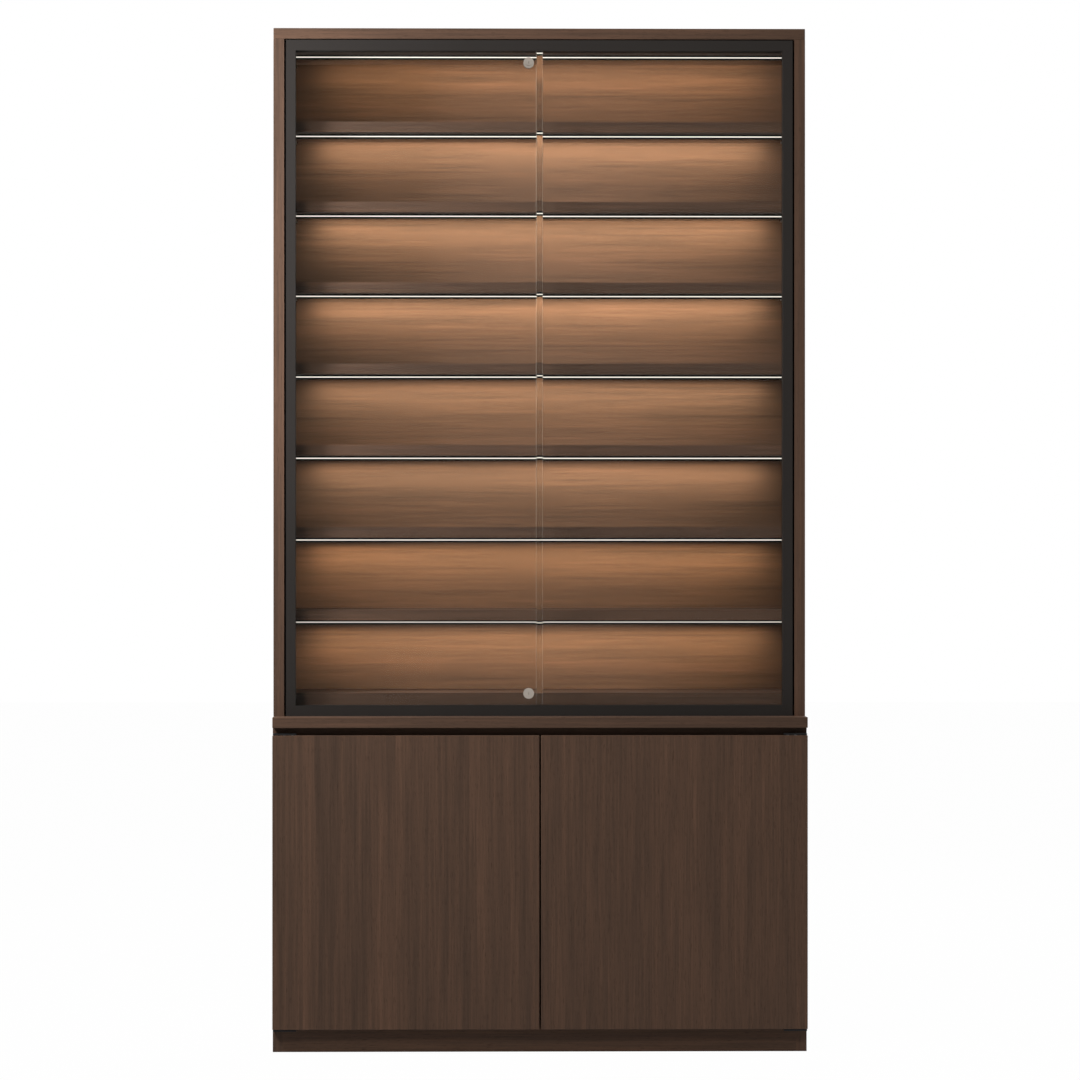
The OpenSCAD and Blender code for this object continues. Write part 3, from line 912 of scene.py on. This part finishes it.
# Lamps beside each light bar. The glow hangs in front of the back panel and shines down, the
# bounce shines up at the board above, the spill shines in from the front, and the wash is
# under the top bar alone. The higher bars' glow and spill start further in at the left.
GLOW_SPAN = (-0.43, 0.44)
GLOW_STEP = 4 * MM
FIRST_WHOLE_GLOW = 5
GLOW_FROM_BACK = 40 * MM
GLOW_POWER = 1.7
GLOW_COLOUR = (1.0, 0.84, 0.61)
WARM_COLOUR = (1.0, 0.75, 0.45)
BOUNCE_DROP = 42 * MM
BOUNCE_POWER = 0.35
LEAST_BOUNCE = 0.8
SPILL_SPAN = (-0.34, 0.26)
SPILL_STEP = 20 * MM
FIRST_WHOLE_SPILL = 4
SPILL_DROP = 69 * MM
SPILL_HEIGHT = 80 * MM
SPILL_POWER = 0.29
SPILL_COLOUR = (1.0, 0.92, 0.82)
WASH_DROP = 18 * MM
WASH_POWER = 0.67
WASH_SPAN = (-0.36, 0.44)
WASH_AHEAD = 2 * MM

# For each light bar from the top: its glow, how far below the board the glow starts,
# how far it leans towards the back panel, its spill and the colour of its glow.
BAR_LIGHT = (
    (0.30, 5 * MM, 0.30, 0.74, WARM_COLOUR),
    (0.80, 1 * MM, 0.45, 1.1, GLOW_COLOUR),
    (0.96, 1 * MM, 0.35, 1.1, GLOW_COLOUR),
    (1.00, 1 * MM, 0.25, 1.1, GLOW_COLOUR),
    (1.12, 5 * MM, 0.05, 1.1, GLOW_COLOUR),
    (1.12, 7 * MM, 0.00, 1.3, GLOW_COLOUR),
    (1.04, 10 * MM, 0.00, 1.5, WARM_COLOUR),
    (0.98, 15 * MM, 0.00, 2.0, WARM_COLOUR),
)

# The four studio lamps: place, the point each is aimed at, side, power and colour.
STUDIO_LAMPS = {
    "key": ((-1.35, -0.70, 1.72), (-0.3, CASE_LOW.y, 1.65), 0.4, 33.0, (0.95, 0.97, 1.0)),
    "fill": ((-2.0, -3.4, 3.7), (0.0, 0.0, 1.0), 1.3, 93.0, (1.0, 0.94, 0.87)),
    "rear": ((0.9, 3.4, 2.6), (0.0, 0.0, 1.0), 1.5, 70.0, WHITE),
    "right": ((3.3, 0.9, 1.9), (0.5, 0.0, 1.0), 1.2, 40.0, WHITE),
}
FRONT_LAMPS = ("key", "fill")


def make_lamps():
    """The studio lamps, of which the front ones leave the lining over the top bar in shade."""
    shaded = lit_only("shaded_lining", ["upper_top_lining"])
    shaded.collection_objects[0].light_linking.link_state = "EXCLUDE"
    for name, (place, target, side, power, colour) in STUDIO_LAMPS.items():
        lamp = area_lamp(name, place, target, side, side, power, colour)
        if name in FRONT_LAMPS:
            lamp.light_linking.receiver_collection = shaded
    make_bar_lamps()


def make_bar_lamps():
    """What each light bar throws: a glow and a spill on the back panel, and its bounce above."""
    panel = lit_only("back_panel_light", ["upper_back"])
    lining = lit_only("lining_light", ["upper_top_lining", "upper_back"])
    undersides = lit_only("underside_light", ["upper_top_lining"] + SHELF_NAMES)
    front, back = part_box("shelf_1")[0].y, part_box("upper_back")[0].y
    floors = SHELF_NAMES + ["upper_bottom"]
    for i, (glow, drop, lean, spill, colour) in enumerate(BAR_LIGHT, 1):
        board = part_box(f"led_profile_{i}")[1].z
        glow_ends = drawn_in(GLOW_SPAN, GLOW_STEP * (FIRST_WHOLE_GLOW - i))
        strip_lamp(
            f"bar_glow_{i}", glow_ends, (back - GLOW_FROM_BACK, board - drop),
            (0.0, lean, -1.0), LAMP_STRIP, GLOW_POWER * glow, colour, panel,
        )
        strip_lamp(
            f"bar_bounce_{i}", GLOW_SPAN, (back - LAMP_STRIP, board - BOUNCE_DROP), UPWARD,
            LAMP_STRIP, BOUNCE_POWER * max(glow, LEAST_BOUNCE), GLOW_COLOUR, undersides,
        )
        lit = lit_only(f"compartment_{i}_light", ["upper_back", floors[i - 1]])
        spill_ends = drawn_in(SPILL_SPAN, SPILL_STEP * (FIRST_WHOLE_SPILL - i))
        strip_lamp(
            f"bar_spill_{i}", spill_ends, (front, board - SPILL_DROP), REARWARD,
            SPILL_HEIGHT, SPILL_POWER * spill, SPILL_COLOUR, lit,
        )
    top_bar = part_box("led_profile_1")[1]
    strip_lamp(
        "bar_wash", WASH_SPAN, (top_bar.y + WASH_AHEAD, top_bar.z - WASH_DROP), REARWARD,
        LAMP_STRIP, WASH_POWER, WARM_COLOUR, lining,
    )


def drawn_in(span, inset):
    """The span with its left end moved in, or as it is where the inset isn't over 0."""
    return span[0] + max(0.0, inset), span[1]


def lit_only(name, nodes):
    """A collection of the solids that a lamp lights."""
    collection = bpy.data.collections.new(name)
    for node in nodes:
        collection.objects.link(NODES[node])
    return collection


def strip_lamp(name, ends, place, direction, depth, power, colour, receivers):
    """A long lamp between two x places that lights only its receivers."""
    centre = Vector(((ends[0] + ends[1]) / 2, *place))
    target = centre + Vector(direction)
    lamp = area_lamp(name, centre, target, ends[1] - ends[0], depth, power, colour)
    lamp.light_linking.receiver_collection = receivers


# ---------- build ----------

bpy.context.scene.view_settings.view_transform = "Standard"
make_camera()
make_floor()
make_world()
make_lamps()
finish = make_finishes()
finish_nodes(finish)
make_screws(finish)
make_bumpers(finish)
make_pin_sleeves(finish)
make_driver_ribs(finish)
make_duct_tabs(finish)
make_edge_guard()
make_pane_edges()
make_keyway_shades(finish)
make_floor_lip(finish)
